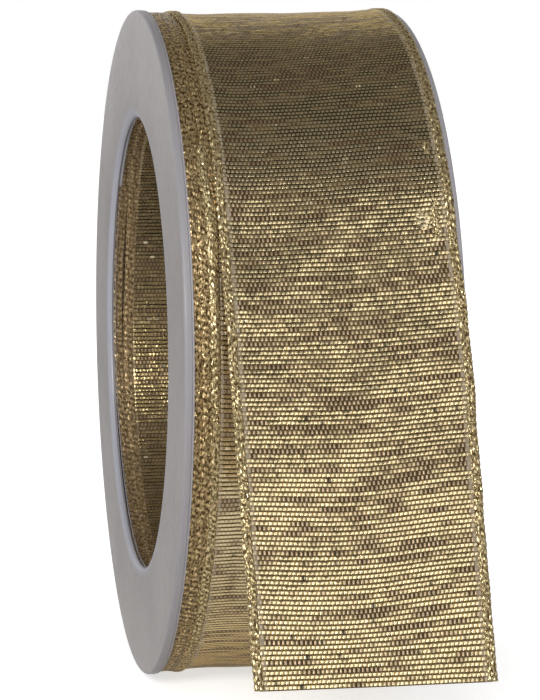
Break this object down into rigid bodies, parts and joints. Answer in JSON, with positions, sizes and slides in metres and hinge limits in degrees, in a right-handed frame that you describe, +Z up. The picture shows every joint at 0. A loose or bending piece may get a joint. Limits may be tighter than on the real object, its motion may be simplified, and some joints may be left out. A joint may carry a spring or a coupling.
{
  "type": "ribbon spool",
  "caption": "Wide-cored spool of wire-edged metallic gift ribbon: two flat flanges on a clear tube, the wound ribbon and its hanging free end.",
  "frame": {"origin": "on the spool's axis, midway between the two flanges, which is the centroid to within a millimetre", "axes": "+X along the spool's axis towards the flange that the last turn of ribbon touches; +Z up as the spool stands on its rims; the free end hangs at the front, towards -Y"},
  "size_m": [0.0474, 0.1501, 0.1222],
  "materials": {
    "frosted_plastic": "satin",
    "clear_plastic": "gloss",
    "clear_tape": "satin",
    "gold_weave": "satin",
    "gold_wired_edge": "satin"
  },
  "bodies": {
    "spool": {"left_flange": "frosted_plastic", "right_flange": "frosted_plastic", "hub_tube": "clear_plastic", "starter_tape": "clear_tape", "ribbon_winding": "gold_weave", "winding_left_edge": "gold_wired_edge", "winding_right_edge": "gold_wired_edge", "last_turn": "gold_weave", "last_turn_left_edge": "gold_wired_edge", "last_turn_right_edge": "gold_wired_edge"},
    "tail": {"ribbon_tail": "gold_weave", "tail_left_edge": "gold_wired_edge", "tail_right_edge": "gold_wired_edge"}
  },
  "joints": [
    {"name": "tail_lift", "type": "hinge", "parent": "spool", "child": "tail", "pos_m": [0, -0.05485, 0.02581], "axis": [-1, 0, 0], "range_deg": [0, 100]}
  ]
}
